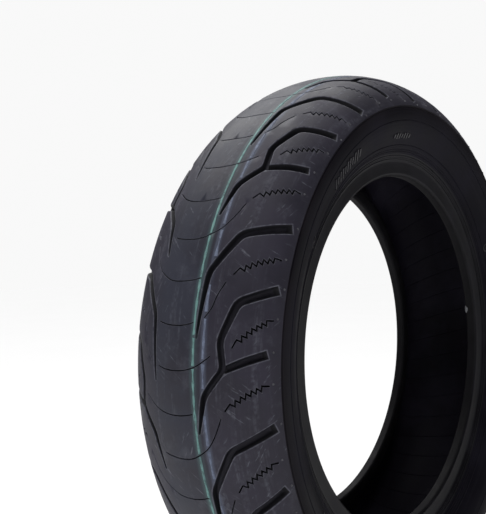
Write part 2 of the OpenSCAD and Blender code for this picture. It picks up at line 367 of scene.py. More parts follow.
def middle_cuts():
    """The arcs that cross the middle: each joins a right half to the mirrored half of the arc before it."""
    cuts = []
    for i, right in enumerate(HALF_ARCS):
        before = HALF_ARCS[i - 1]
        shift = STAGGER if i else STAGGER - PITCH
        left = [(angle + shift, -arc) for angle, arc in reversed(before)]
        line = smooth_line(left + [(i * STAGGER, 0.0)] + right, 3.5)
        cuts.append(Cut(line, np.full(len(line), CENTRE_SIPE_WIDTH / 2), CENTRE_WALL))
    return cuts


# Where the meshed pitch starts, and how far outside it a cut can matter
WINDOW = 3.6
WINDOW_MARGIN = 3.0


def cuts_near_window():
    """Every copy of a cut that may reach into one pitch of the tread."""
    cuts = []
    for turn in (-PITCH, 0, PITCH):
        cuts += [cut.copied(turn, RIGHT) for cut in right_cuts() + middle_cuts()]
        cuts += [cut.copied(turn + STAGGER, LEFT) for cut in right_cuts()]
    low, high = WINDOW - WINDOW_MARGIN, WINDOW + PITCH + WINDOW_MARGIN
    return [cut for cut in cuts if cut.line[:, 0].max() > low and cut.line[:, 0].min() < high]


CUTS = cuts_near_window()


def tread_depth(places):
    """How deep the tread is cut at each (angle, arc) place, for any angle within the window's pitch."""
    depth = np.zeros(len(places))
    for cut in CUTS:
        depth = np.maximum(depth, cut.depth(places))
    return depth


# Millimetres to a degree when a pitch is laid flat to be cut into triangles
PLAN_SCALE = 4.1
COLUMNS = 20
ROWS = 25
# Loose points on the land: how far each second row is set over, and how far they keep from cuts and border
GRID_JOG = 0.9
LAND_CLEARANCE = 1.8
BORDER_CLEARANCE = 0.3


def tread_plan():
    """Points and triangles of one pitch of the tread, laid flat as (angle, arc)."""
    points, edges = [], []

    def add_loop(loop, closed=True):
        first = len(points)
        points.extend(map(tuple, loop))
        count = len(loop)
        edges.extend((first + i, first + (i + 1) % count) for i in range(count if closed else count - 1))

    columns = WINDOW + np.arange(COLUMNS + 1) * PITCH / COLUMNS
    rows = np.linspace(-EDGE_ARC, EDGE_ARC, ROWS)
    add_loop([(a, -EDGE_ARC) for a in columns] + [(columns[-1], s) for s in rows[1:-1]]
             + [(a, EDGE_ARC) for a in columns[::-1]] + [(columns[0], s) for s in rows[-2:0:-1]])
    for cut in CUTS:
        for inset in cut.wall[0]:
            ring = cut.ring(inset)
            if ring is not None:
                add_loop(ring)
    grid = np.array([(a + (i % 2) * GRID_JOG, s)
                     for i, s in enumerate(rows[1:-1]) for a in columns[:-1] + GRID_JOG / 2])
    nearest = np.max([cut.inset(grid) for cut in CUTS], axis=0)
    clear = (nearest < -LAND_CLEARANCE) & (grid[:, 0] < columns[-1] - BORDER_CLEARANCE)
    points.extend(map(tuple, grid[clear]))
    flat = [Vector((angle * PLAN_SCALE, arc)) for angle, arc in points]
    flat, _, faces, *_ = delaunay_2d_cdt(flat, edges, [], 0, 1e-4)
    places = np.array([(p.x / PLAN_SCALE, p.y) for p in flat])
    turn, arc = np.array([places[list(f)].mean(axis=0) for f in faces]).T
    inside = (turn > columns[0]) & (turn < columns[-1]) & (np.abs(arc) < EDGE_ARC)
    return places, [f for f, keep in zip(faces, inside) if keep]


# Points closer than these parts of a degree and of a millimetre are one point
PER_DEGREE = 40
PER_MM = 20
# A shallower dip than this gets the land's looks
FAINTEST_CUT = 0.02


def whole_tread():
    """All pitches of the tread's outer skin, as angles, arcs, depths and triangles."""
    places, faces = tread_plan()
    depth = tread_depth(places)
    faces = np.array(faces)
    used = np.unique(faces)
    renumber = np.full(len(places), -1)
    renumber[used] = np.arange(len(used))
    places, depth, faces = places[used], depth[used], renumber[faces]
    count = len(places)
    angles = np.concatenate([places[:, 0] + k * PITCH for k in range(PITCHES)]) + PATTERN_START
    arcs, depths = np.tile(places[:, 1], PITCHES), np.tile(depth, PITCHES)
    triangles = np.concatenate([faces + k * count for k in range(PITCHES)])
    # Neighbouring pitches share the points on their common border
    turn_keys = np.round((angles % 360) * PER_DEGREE) % (360 * PER_DEGREE)
    keys = np.stack([turn_keys, np.round(arcs * PER_MM)], axis=1)
    _, first, back = np.unique(keys, axis=0, return_index=True, return_inverse=True)
    back = back.ravel()
    triangles = back[triangles]
    distinct = ((triangles[:, 0] != triangles[:, 1]) & (triangles[:, 1] != triangles[:, 2])
                & (triangles[:, 2] != triangles[:, 0]))
    return angles[first], arcs[first], depths[first], triangles[distinct]


def make_tread(material):
    """The cap: its cut skin, its end faces and its floor, with each point's depth for the material."""
    angles, arcs, depths, faces = whole_tread()
    points = on_crown(angles, arcs, depths)
    corners = points[faces]
    leans = np.cross(corners[:, 1] - corners[:, 0], corners[:, 2] - corners[:, 0])
    outward = crown_normal(angles, arcs)
    if (leans * outward[faces[:, 0]]).sum() < 0:
        faces, leans = faces[:, ::-1], -leans
    normals = np.zeros_like(points)
    for corner in range(3):
        np.add.at(normals, faces[:, corner], unit(leans))
    land = depths < 1e-6
    normals[land] = outward[land]
    normals = unit(normals)

    # The floor and the end faces close the cap; their columns are the border points of the skin
    columns = PITCHES * COLUMNS
    floor_arcs = np.linspace(CAP_FLOOR_ARC, -CAP_FLOOR_ARC, CAP_FLOOR_ROWS)[:, None]
    column_angles = PATTERN_START + WINDOW + np.arange(columns) * 360 / columns
    floor = on_crown(column_angles, floor_arcs, CAP_GAUGE).reshape(-1, 3)
    floor_normals = -crown_normal(column_angles, floor_arcs).reshape(-1, 3)

    def border(side):
        """The skin's points along one edge, in the columns' order."""
        found = np.flatnonzero(np.abs(arcs - side * EDGE_ARC) < 1e-3)
        place = np.round((angles[found] - column_angles[0]) % 360 / (360 / columns)).astype(int) % columns
        return found[np.argsort(place)]

    first = len(points)
    under = lathe_faces(CAP_FLOOR_ROWS, columns, closed=False)
    quads = [tuple(first + i for i in reversed(f)) for f in under]
    last = first + (CAP_FLOOR_ROWS - 1) * columns
    right, left = border(RIGHT), border(LEFT)
    for j in range(columns):
        k = (j + 1) % columns
        quads.append((right[j], first + j, first + k, right[k]))
        quads.append((last + j, left[j], left[k], last + k))
    points = np.concatenate([points, floor])
    normals = np.concatenate([normals, floor_normals])
    every = [tuple(map(int, f)) for f in [*faces, *quads]]
    piece = new_piece("tread", points, every, material, "tread_rubber")
    depth = piece.data.attributes.new("cut_depth", "FLOAT", "POINT")
    shown = np.where(depths < FAINTEST_CUT, 0.0, depths)
    depth.data.foreach_set("value", np.concatenate([shown, np.zeros(len(floor))]))
    sharpen(piece, 50)
    piece.data.normals_split_custom_set_from_vertices(normals.tolist())
    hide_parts("tread_cap")
    return piece


# ---------------------------------------------------------------- section of the tyre
# Places in the section are (radius, offset)
EDGE = np.array(crown(EDGE_ARC))
FLANK_CURVE = [EDGE, np.array([SEAT_R + 36, EDGE[1] + 2]), np.array([SEAT_R + 19, HEEL + 1.6]),
               np.array([SEAT_R + 11.5, HEEL + 0.55])]
# The share of the flank where the sidewall gives way to the rim strip
RIM_STRIP_FROM = 0.75
FACE_END = SEAT_R + 3.2
HEEL_ROUND = (1.9, 0.9)
HEEL_FOOT = (SEAT_R + 1.1, HEEL - 0.9)
BUNDLE_HIGH, BUNDLE_IN = 158.8, 38.15
CARCASS_DEPTH = 9.6
CARCASS_ARC = 60.0
PLIES = 1.5
LINER_GAUGE = 1.2
CHAFER_GAUGE = 0.6
BELLY = np.array([SEAT_R + 43, EDGE[1] - 5.6])
# The share of the lower curve where the liner meets the chafer
LINER_END = 0.8


def bezier(curve, t):
    """Points on a curve with four control points."""
    a, b, c, d = curve
    t = np.asarray(t, float)[..., None]
    return (1 - t) ** 3 * a + 3 * t * (1 - t) ** 2 * b + 3 * t ** 2 * (1 - t) * c + t ** 3 * d


def bezier_normal(curve, t):
    """Unit normals on the outer side of a curve that runs from the crown to the bead."""
    a, b, c, d = curve
    t = np.asarray(t, float)[..., None]
    slope = (1 - t) ** 2 * (b - a) + 2 * t * (1 - t) * (c - b) + t ** 2 * (d - c)
    return unit(np.stack([slope[..., 1], -slope[..., 0]], axis=-1))


def carcass_curves():
    """The inner face of the plies: from under the crown to the belly, and down to the bead wires."""
    start = np.array(crown(CARCASS_ARC, CARCASS_DEPTH))
    turn = crown_turn(CARCASS_ARC)
    way = np.array([-math.sin(turn), math.cos(turn)])
    shoulder = [start, start + 12 * way, BELLY + [9, 0], BELLY]
    end = np.array([BUNDLE_HIGH, BUNDLE_IN])
    lower = [BELLY, BELLY - [11, 1.2], end + [9, 1], end]
    return shoulder, lower


SHOULDER_CURVE, LOWER_CURVE = carcass_curves()


def inner_half(depth):
    """From the middle of the crown to the liner's end, at a depth under the carcass line."""
    arcs = np.arange(0.0, CARCASS_ARC, 3.0)
    parts = [np.stack(crown(arcs, CARCASS_DEPTH + depth), axis=1)]
    for curve, upto, count in ((SHOULDER_CURVE, 1.0, 10), (LOWER_CURVE, LINER_END, 14)):
        t = np.linspace(0, upto, count + 1)[(0 if curve is SHOULDER_CURVE else 1):]
        parts.append(bezier(curve, t) - depth * bezier_normal(curve, t))
    return np.concatenate(parts)


def whole_line(half):
    """A line from bead to bead, from its right half."""
    return np.concatenate([(half * [1, -1])[:0:-1], half])


def side_way(line):
    """Unit vectors at right angles to a line in the section."""
    ahead = np.gradient(line, axis=0)
    return unit(np.stack([-ahead[:, 1], ahead[:, 0]], axis=1))


def band(outer, inner):
    """A closed section between an outer and an inner line."""
    return np.concatenate([outer, inner[::-1]])


def relief(t, features):
    """Height of the moulded rings at t: each feature is (middle, half width, height)."""
    height = np.zeros_like(t)
    for middle, half, rise in features:
        height += rise * np.clip(RING_FLANK * (1 - np.abs(t - middle) / half), 0, 1)
    return height


# Rings moulded on the flank, as (share of the flank, half width, height in millimetres)
SIDEWALL_RINGS = [(0.016, 0.012, -0.5), (0.20, 0.006, 0.35), (0.58, 0.010, 0.4), (0.66, 0.007, 0.25),
                  (0.70, 0.007, 0.3)]
RIM_STRIP_RINGS = [(0.79, 0.012, 0.45), (0.84, 0.008, 0.2), (0.885, 0.012, 0.45)]
# A ring comes up to its full height over 1 / RING_FLANK of its half width
RING_FLANK = 1.6
# How thick the sidewall's, the rim strip's and the chafer's pieces are
SKIN = 1.6
STRIP_SKIN = 0.8
CHAFER_SKIN = 0.45


def flank_line(start, end, count, rings):
    """The flank's moulded outside between two shares of its curve."""
    t = np.linspace(start, end, count)
    return bezier(FLANK_CURVE, t) + relief(t, rings)[:, None] * bezier_normal(FLANK_CURVE, t)


def flank_inside(start, end, count, depth):
    """The back of a skin that lies on the flank."""
    t = np.linspace(start, end, count)
    return bezier(FLANK_CURVE, t) - depth * bezier_normal(FLANK_CURVE, t)


def side_name(side):
    return "left" if side == LEFT else "right"


def make_sidewall(side, material):
    """One sidewall's skin, with its turned rings."""
    outer = flank_line(0.0, RIM_STRIP_FROM, 150, SIDEWALL_RINGS)
    section = band(outer, flank_inside(0.0, RIM_STRIP_FROM, 16, SKIN))
    name = "sidewall_" + side_name(side)
    piece = lathe("moulded_" + name, section, side, material, "sidewall_rubber")
    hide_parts(name)
    return piece


def make_rim_strip(side, material):
    """The strip between the sidewall and the bead's heel, with its rings and its rounded edge."""
    outer = flank_line(RIM_STRIP_FROM, 1.0, 60, RIM_STRIP_RINGS)
    heel_turn = np.radians(np.linspace(0, 80, 7))
    heel = np.stack([FACE_END - HEEL_ROUND[0] * np.sin(heel_turn),
                     HEEL - HEEL_ROUND[1] * (1 - np.cos(heel_turn))], axis=1)
    inner = flank_inside(RIM_STRIP_FROM, 1.0, 10, STRIP_SKIN)
    section = np.concatenate([outer, heel, [HEEL_FOOT, (FACE_END, HEEL - HEEL_ROUND[1])], inner[::-1]])
    name = "rim_strip_" + side_name(side)
    piece = lathe("moulded_" + name, section, side, material, "rim_strip_rubber")
    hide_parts(name)
    return piece


SEAT_EDGE = HEEL - 1.95
TOE = BUNDLE_IN - PLIES - CHAFER_GAUGE
TOE_ROUND = (3.5, 2.2)


def toe_line():
    """The bead's wall from the heel to the toe and up the inside to the liner."""
    heel = [HEEL_FOOT, (SEAT_R + 0.6, HEEL - 1.15), (SEAT_R + 0.25, HEEL - 1.5), (SEAT_R, SEAT_EDGE)]
    seat = [(SEAT_R, SEAT_EDGE - step) for step in (1.4, 2.8, 4.2)]
    turn = np.radians(np.linspace(0, 90, 9))
    toe = np.stack([SEAT_R + TOE_ROUND[0] * (1 - np.cos(turn)),
                    TOE + TOE_ROUND[1] * (1 - np.sin(turn))], axis=1)
    t = np.linspace(1.0, LINER_END, 9)
    shift = PLIES + CHAFER_GAUGE + (LINER_GAUGE - CHAFER_GAUGE) * (1 - t)[:, None] / (1 - LINER_END)
    inside = bezier(LOWER_CURVE, t) - shift * bezier_normal(LOWER_CURVE, t)
    return np.array([*heel, *seat, *toe, *inside])


def make_chafer(side, material):
    """The bead's covering, from the heel round the toe to the liner."""
    outer = toe_line()
    inner = outer + CHAFER_SKIN * side_way(outer)
    name = "chafer_" + side_name(side)
    piece = lathe("bead_" + name, band(outer, inner), side, material, "chafer_rubber")
    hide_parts(name)
    return piece


def make_liner(material):
    """The inside of the tyre, from bead to bead."""
    inner = whole_line(inner_half(PLIES + LINER_GAUGE))
    outer = whole_line(inner_half(PLIES + 0.2))
    piece = lathe("liner", band(outer, inner), RIGHT, material, "liner_rubber", sharp=40, segments=180)
    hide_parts("inner_liner")
    return piece


RIDGES = 60
RIDGE_LEAN = 14.0
RIDGE_WIDTH = 1.1
RIDGE_HEIGHT = 0.4
RIDGE_ROOT = 0.1


def make_liner_ridges(material):
    """The thin slanting ridges that the curing bladder leaves on the liner."""
    line = whole_line(inner_half(PLIES + LINER_GAUGE))[4:-4]
    count = len(line)
    into = side_way(line)
    into *= -np.sign(into[count // 2, 0])
    sunk, crest = line - into * RIDGE_ROOT, line + into * RIDGE_HEIGHT
    lean = np.linspace(-RIDGE_LEAN / 2, RIDGE_LEAN / 2, count)
    half_turn = np.degrees(RIDGE_WIDTH / 2 / line[:, 0])
    faces = [(a * count + i, a * count + i + 1, b * count + i + 1, b * count + i)
             for i in range(count - 1) for a, b in ((0, 1), (1, 2), (2, 0))]
    faces += [(0, count, 2 * count), (count - 1, 3 * count - 1, 2 * count - 1)]
    ridges = []
    for k in range(RIDGES):
        angle = k * 360 / RIDGES + lean
        edges = [in_space(angle + width, place[:, 0], place[:, 1])
                 for place, width in ((sunk, -half_turn), (crest, 0.0), (sunk, half_turn))]
        ridges.append((np.concatenate(edges), faces))
    piece = new_piece("liner_ridges", *joined(ridges), material, "liner_rubber")
    sharpen(piece, 60)
    return piece


# ---------------------------------------------------------------- marks on the rubber
def block(angle, radius, offset, outward, along, across, height):
    """A low raised bar with sloping sides: its middle, its outward normal and its two half lengths."""
    middle = in_space(angle, radius, offset)
    normal = in_space(angle, *outward)
    ahead = unit(np.cross([0.0, -1.0, 0.0], middle * [1, 0, 1]))
    up = np.cross(normal, ahead)
    points = []
    for lift, share in ((-0.3, 1.0), (height * 0.6, 0.94), (height, 0.8)):
        for u, v in ((-1, -1), (1, -1), (1, 1), (-1, 1)):
            points.append(middle + normal * lift + ahead * (u * (along - (1 - share)))
                          + up * (v * (across - (1 - share))))
    return points, [(3, 2, 1, 0), (8, 9, 10, 11), *lathe_faces(3, 4, closed=False)]


def flank_place(t):
    """A place on the flank's curve, and the way out from it."""
    return bezier(FLANK_CURVE, t), bezier_normal(FLANK_CURVE, t)


# Kinds of group, as (angle, bars, share of the flank, half length, degrees between bars)
HATCHES = [(128.0, 11, 0.36, 5.2, 1.35), (98.0, 7, 0.42, 2.6, 1.3)]
HATCH_TURNS = (0, 120, 240)
BAR_HALF_WIDTH = 1.0
BAR_HEIGHT = 0.7
SHORT_BAR = 0.72


def make_hatch(side, material):
    """Plain raised bars in the sidewall's panel, in groups round the tyre."""
    parts = []
    for (middle, count, t, reach, spacing), turn in product(HATCHES, HATCH_TURNS):
        (radius, offset), (out, across) = flank_place(t)
        for k in range(count):
            angle = middle + turn + (k - (count - 1) / 2) * spacing
            tall = reach * (1.0 if k % 3 else SHORT_BAR)
            parts.append(block(angle, radius, side * offset, (out, side * across),
                               BAR_HALF_WIDTH, tall, BAR_HEIGHT))
    name = "sidewall_hatch_" + side_name(side)
    return new_piece(name, *joined(parts), material, "sidewall_rubber", smooth=False)


BOSS_ANGLES = (150.0, 270.0, 30.0)
BOSS_AT = 0.50
# The boss from its middle outwards, as (distance, height)
BOSS_PROFILE = [(0.0, 0.4), (1.5, 0.4), (1.8, -0.3), (3.2, -0.3), (3.4, 0.45), (4.3, 0.45), (4.6, -0.4)]
BOSS_SECTORS = 28


def make_bosses(side, material):
    """Plain raised rings on the sidewall, each with a small disc in the middle."""
    parts = []
    place, normal = flank_place(BOSS_AT)
    faces = mound_faces(len(BOSS_PROFILE) - 1, BOSS_SECTORS)
    for angle in BOSS_ANGLES:
        middle = in_space(angle, place[0], side * place[1])
        out = in_space(angle, normal[0], side * normal[1])
        ahead = in_space(angle + 90, 1.0, 0.0)
        up = np.cross(out, ahead)
        points = [middle + out * BOSS_PROFILE[0][1]]
        for radius, lift in BOSS_PROFILE[1:]:
            points.extend(middle + out * lift + radius * way for way in circle(ahead, up, BOSS_SECTORS))
        parts.append((points, faces))
    piece = new_piece("sidewall_bosses_" + side_name(side), *joined(parts), material, "sidewall_rubber")
    sharpen(piece, 40)
    return piece


# Where the mould's vents leave pips: (angle within the pitch, arc)
VENTS = [(1.9, 76.2), (13.8, 76.2), (25.2, 72.4), (8.4, 73.4), (19.3, 74.0), (30.7, 72.4)]
STUB_RADIUS = 0.75
STUB_SIDES = 8


def stub(base, normal, height):
    """A trimmed moulding pip: a short cone with a rounded end."""
    sideways = unit(np.cross(normal, [0.3, 0.5, 0.8]))
    points = []
    for lift, share in ((-0.3, 1.25), (0.15, 1.0), (height * 0.8, 0.85), (height, 0.5)):
        points.extend(base + normal * lift + STUB_RADIUS * share * way
                      for way in circle(sideways, np.cross(normal, sideways), STUB_SIDES))
    foot, top = range(STUB_SIDES), range(3 * STUB_SIDES, 4 * STUB_SIDES)
    return points, [*lathe_faces(4, STUB_SIDES, closed=False), tuple(reversed(foot)), tuple(top)]


def make_vent_stubs(material):
    """The pips that the mould's vents leave on both shoulders."""
    random.seed(12)
    parts = []
    for side, pitch, (angle, arc) in product((RIGHT, LEFT), range(PITCHES), VENTS):
        around = PATTERN_START + pitch * PITCH + angle + (STAGGER if side == LEFT else 0)
        place = (around, side * arc)
        parts.append(stub(on_crown(*place), crown_normal(*place), random.uniform(0.3, 0.7)))
    return new_piece("vent_stubs", *joined(parts), material, "tread_rubber")


# ---------------------------------------------------------------- painted marks
class Wander:
    """A smooth random value round the tyre, made of a few whole waves."""

    def __init__(self, seed, lowest, highest, count, size):
        maker = random.Random(seed)
        self.waves = [(maker.randint(lowest, highest), maker.uniform(0, 2 * math.pi), maker.gauss(0, 1))
                      for _ in range(count)]
        self.size = size / math.sqrt(count)

    def __call__(self, angle):
        turn = np.radians(angle)
        return self.size * sum(height * np.sin(waves * turn + shift) for waves, shift, height in self.waves)


PAINT_STEPS = 2880
PAINT_ROWS = 4
# The film's top and foot, over the crown, and how deep a cut may be and still take paint
PAINT_TOP, PAINT_FOOT = 0.07, -0.05
PAINTED_DEPTH = 0.3


def film_faces():
    """Faces of one short length of paint: two top rows of points, then two rows at its foot."""
    n = PAINT_ROWS
    a, b, c, d = 0, n, 2 * n, 3 * n
    faces = [(a, b, d, c), (b - 1, d - 1, 4 * n - 1, c - 1),
             (*range(b - 1, a - 1, -1), *range(c, d)), (*range(b, c), *range(4 * n - 1, d - 1, -1))]
    for r in range(n - 1):
        faces.append((a + r, a + r + 1, b + r + 1, b + r))
        faces.append((c + r, d + r, d + r + 1, c + r + 1))
    return faces


def make_paint_line(name, node, arc, width, seed, wear, material, slot):
    """A thin painted line: its edges wander, it skips the cuts, and worn places are bare."""
    drift, swell = Wander(seed, 2, 9, 6, 0.25), Wander(seed + 1, 20, 160, 12, width * 0.16)
    patch = Wander(seed + 2, 30, 420, 24, 1.0)
    angles = np.arange(PAINT_STEPS) * 360 / PAINT_STEPS
    half = np.clip(width / 2 + swell(angles), 0.25, width)
    arcs = (arc + drift(angles))[:, None] + half[:, None] * np.linspace(-1, 1, PAINT_ROWS)
    local = (angles - PATTERN_START - WINDOW) % PITCH + WINDOW
    places = np.stack([np.repeat(local, PAINT_ROWS), arcs.ravel()], axis=1)
    bare = (tread_depth(places) > PAINTED_DEPTH).reshape(PAINT_STEPS, PAINT_ROWS).any(axis=1)
    skip = bare | (patch(angles) > wear)
    lengths, faces = [], film_faces()
    for i in range(PAINT_STEPS):
        j = (i + 1) % PAINT_STEPS
        if not (skip[i] or skip[j]):
            rows = [on_crown(angles[k], arcs[k], -lift) for lift in (PAINT_TOP, PAINT_FOOT) for k in (i, j)]
            lengths.append((np.concatenate(rows), faces))
    piece = new_piece(name, *joined(lengths), material, slot)
    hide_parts(node)
    return piece


# The dab's place, its half extents round the tyre and along the toe's line, and its height
DAB_ANGLE, DAB_HALF_TURN, DAB_HALF_LENGTH = 10.2, 1.6, 0.44
DAB_LIFT, DAB_ROOT = 0.9, 0.05
DAB_RINGS, DAB_SECTORS = 6, 36


def make_bead_mark(material):
    """The light dab of paint on the right bead's toe: a low mound with a wavering outline."""
    toe = toe_line()[6:18]
    along = np.linspace(0, 1, len(toe))
    outward = -side_way(toe)

    def on_toe(turn, share, lift):
        """A point over the toe, at a share of the way along it."""
        lifted = toe + lift * outward
        return in_space(DAB_ANGLE + turn, *(np.interp(share, along, lifted[:, i]) for i in range(2)))

    waver = Wander(31, 2, 7, 5, 0.12)
    points = [on_toe(0.0, 0.5, DAB_LIFT)]
    for ring, k in product(range(1, DAB_RINGS + 1), range(DAB_SECTORS)):
        turn = 2 * math.pi * k / DAB_SECTORS
        share = ring / DAB_RINGS
        reach = share * (1 + float(waver(math.degrees(turn))))
        lift = DAB_LIFT * (1 - share ** 4) - DAB_ROOT * (ring == DAB_RINGS)
        across = np.clip(0.5 + DAB_HALF_LENGTH * reach * math.sin(turn), 0, 1)
        points.append(on_toe(DAB_HALF_TURN * reach * math.cos(turn), across, lift))
    piece = new_piece("bead_dab", points, mound_faces(DAB_RINGS, DAB_SECTORS), material, "light_paint")
    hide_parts("bead_mark")
    return piece


# ---------------------------------------------------------------- shader building
class Value:
    """A number that changes over a surface; sums and products with it add Math nodes."""

    def __init__(self, shader, socket):
        self.shader = shader
        self.socket = socket

    def math(self, operation, *others):
        inputs = dict(enumerate([self, *others]))
        node = self.shader.node("ShaderNodeMath", {"operation": operation}, inputs)
        return Value(self.shader, node.outputs[0])

    def __add__(self, other):
        return self.math("ADD", other)

    def __sub__(self, other):
        return self.math("SUBTRACT", other)

    def __rsub__(self, other):
        return (self * -1).math("ADD", other)

    def __mul__(self, other):
        return self.math("MULTIPLY", other)

    def __abs__(self):
        return self.math("ABSOLUTE")

    __radd__ = __add__
    __rmul__ = __mul__

    def sine(self):
        return self.math("SINE")

    def fit(self, low, high, to_low=0.0, to_high=1.0):
        """The value's range from low to high brought to another range, and held inside it."""
        inputs = {"Value": self, "From Min": low, "From Max": high, "To Min": to_low, "To Max": to_high}
        settings = {"interpolation_type": "SMOOTHSTEP", "clamp": True}
        return Value(self.shader, self.shader.node("ShaderNodeMapRange", settings, inputs).outputs[0])


class NodeTree:
    """The nodes of a material or of the world, from an empty start."""

    def __init__(self, owner):
        owner.use_nodes = True
        self.tree = owner.node_tree
        self.tree.nodes.clear()

    def plug(self, node, inputs):
        """Give a node's sockets their constants and links."""
        for key, given in inputs.items():
            socket = node.inputs[key]
            if isinstance(given, Value):
                given = given.socket
            if isinstance(given, bpy.types.NodeSocket):
                self.tree.links.new(given, socket)
            else:
                socket.default_value = given

    def node(self, kind, settings=None, inputs=None):
        """A new node: its settings are set first, then its sockets."""
        made = self.tree.nodes.new(kind)
        for name, setting in (settings or {}).items():
            setattr(made, name, setting)
        self.plug(made, inputs or {})
        return made


class Shader(NodeTree):
    """A material made of nodes round one Principled shader."""

    def __init__(self, name, **constants):
        self.material = bpy.data.materials.new(name)
        super().__init__(self.material)
        inputs = {socket.replace("_", " "): constant for socket, constant in constants.items()}
        self.skin = self.node("ShaderNodeBsdfPrincipled", {}, inputs)
        self.node("ShaderNodeOutputMaterial", {}, {"Surface": self.skin.outputs[0]})
        # The object's own coordinates in metres, and the radius and angle round the axle
        self.spot = self.node("ShaderNodeTexCoord").outputs["Object"]
        apart = self.node("ShaderNodeSeparateXYZ", {}, {0: self.spot})
        self.x, self.y, self.z = (Value(self, apart.outputs[i]) for i in range(3))
        self.radius = (self.x * self.x + self.z * self.z).math("SQRT")
        self.angle = self.z.math("ARCTAN2", self.x)

    def noise(self, scale, detail, roughness=0.5, vector=None):
        """Noise over the object's coordinates, or over another vector."""
        inputs = {"Vector": self.spot if vector is None else vector,
                  "Scale": scale, "Detail": detail, "Roughness": roughness}
        return Value(self, self.node("ShaderNodeTexNoise", {}, inputs).outputs["Fac"])

    def streaks(self, detail, roughness, *parts):
        """Noise over three coordinates that are each scaled on their own."""
        vector = self.node("ShaderNodeCombineXYZ", {}, dict(enumerate(parts))).outputs[0]
        return self.noise(1.0, detail, roughness, vector)

    def mix(self, factor, a, b):
        """A colour between a and b; each is a colour or another mix."""
        inputs = {0: factor}
        for index, colour in ((6, a), (7, b)):
            inputs[index] = colour if isinstance(colour, bpy.types.NodeSocket) else (*colour, 1.0)
        return self.node("ShaderNodeMix", {"data_type": "RGBA"}, inputs).outputs[2]

    def finish(self, colour, roughness, height=None, distance=0.0003, strength=0.5):
        """The material, from its colour, its roughness and the height of its fine relief in metres."""
        inputs = {"Base Color": colour, "Roughness": roughness}
        if height is not None:
            bumps = {"Strength": strength, "Distance": distance, "Height": height}
            inputs["Normal"] = self.node("ShaderNodeBump", {}, bumps).outputs[0]
        self.plug(self.skin, inputs)
        return self.material


# ---------------------------------------------------------------- materials
# Lengths on a surface are in metres here, apart from arcs and the ones brought over by MM
SLATE = (0.0295, 0.0265, 0.0430)
SLATE_DARK = (0.0180, 0.0162, 0.0270)
# The dark slate below is a painted shade that the tread fades to towards its shoulders
SHOULDER_SHADE_COLOUR = (0.014, 0.013, 0.021)
# The arcs between which the tread turns darker towards its shoulders, a painted shade
SHOULDER_SHADE_ARCS = (66.0, 77.0)
CHALK = (0.15, 0.155, 0.19)
# Painted shade in the cuts, partly the darker release agent there: near-black on the walls, less dark on
# the floors
CUT_WALL_SHADE = (0.004, 0.004, 0.006)
CUT_FLOOR_SHADE = (0.017, 0.016, 0.024)
# The crest's bluish dust lies a little to one side of the middle
CREST_OFFSET = -0.002
CREST_TINT = (0.030, 0.039, 0.056)
GREEN = (0.135, 0.275, 0.265)
VIOLET = (0.16, 0.195, 0.285)


def tread_rubber():
    """Slate-grey rubber with mottling, chalky streaks, scuffs, stray paint, pale lips that are partly a
    painted highlight, painted shade towards the shoulders, and cuts darkened by painted shade.
    """
    s = Shader("tread_rubber", Specular_IOR_Level=0.29)
    x, y, z = s.x, s.y, s.z
    blotch, haze, patch = s.noise(22, 5, 0.6), s.noise(48, 6, 0.7), s.noise(17, 2)
    grain, speck = s.noise(900, 3, 0.7), s.noise(330, 2)
    streak = s.streaks(4, 0.65, x * 8, y * 190, z * 8)
    scratch_up = s.streaks(2, 0.6, y * 520 + z * 260, x * 75, z * 90)
    scratch_down = s.streaks(2, 0.6, y * 360 - z * 430, x * 80 + 9, z * 70)
    scuff = (scratch_up.fit(0.6, 0.72) * patch.fit(0.5, 0.62)
             + scratch_down.fit(0.62, 0.74) * patch.fit(0.5, 0.38))
    base = s.mix(blotch.fit(0.3, 0.7), SLATE_DARK, SLATE)
    crest = abs(y + CREST_OFFSET).fit(0.034, 0.008)
    base = s.mix(crest * blotch.fit(0.25, 0.6) * 0.4, base, CREST_TINT)
    base = s.mix(streak.fit(0.5, 0.78) * speck.fit(0.3, 0.7) * 0.45, base, CHALK)
    # Painted shade: the tread turns darker towards both shoulders, broken up by the blotches
    edge = abs(y).fit(*(crown(arc)[1] * MM for arc in SHOULDER_SHADE_ARCS))
    base = s.mix(edge * blotch.fit(0.1, 0.5) * 0.5, base, SHOULDER_SHADE_COLOUR)
    base = s.mix(haze.fit(0.52, 0.8) * 0.22, base, CHALK)
    base = s.mix(scuff * speck.fit(0.3, 0.6) * 0.6, base, CHALK)
    for arc, reach, colour, most in ((GREEN_ARC, 4.2, GREEN, 0.3), (VIOLET_ARC, 3.4, VIOLET, 0.34)):
        near = abs(y + crown(arc)[1] * MM).fit(reach * MM, 0.4 * MM)
        base = s.mix(near * streak.fit(0.25, 0.6) * most, base, colour)
    attribute = s.node("ShaderNodeAttribute", {"attribute_name": "cut_depth"})
    depth = Value(s, attribute.outputs["Fac"])
    # Pale lips along the cuts' edges: a painted highlight, partly chalky edge wear
    lip_wear_and_highlight = depth.fit(0.0, 0.05) * depth.fit(0.6, 0.15)
    base = s.mix(lip_wear_and_highlight * speck.fit(0.2, 0.6) * 0.55, base, CHALK)
    # Painted shade in the cuts, partly darker release agent, darkest on the walls and less dark towards the
    # floors
    cut = s.mix(depth.fit(3.8, 5.2), CUT_WALL_SHADE, CUT_FLOOR_SHADE)
    base = s.mix(depth.fit(0.15, 1.2) * 0.92, base, cut)
    rough = blotch.fit(0.25, 0.75, 0.50, 0.66) + streak.fit(0.4, 0.8) * 0.08 + depth.fit(0.1, 1.6) * 0.1
    return s.finish(base, rough, grain * 0.6 + speck * 0.5 + streak * 0.5 + scuff * 0.2, 0.0003, 0.35)


# Radii, in metres, between which the flank turns a little browner
UPPER_FLANK = (0.195, 0.222)


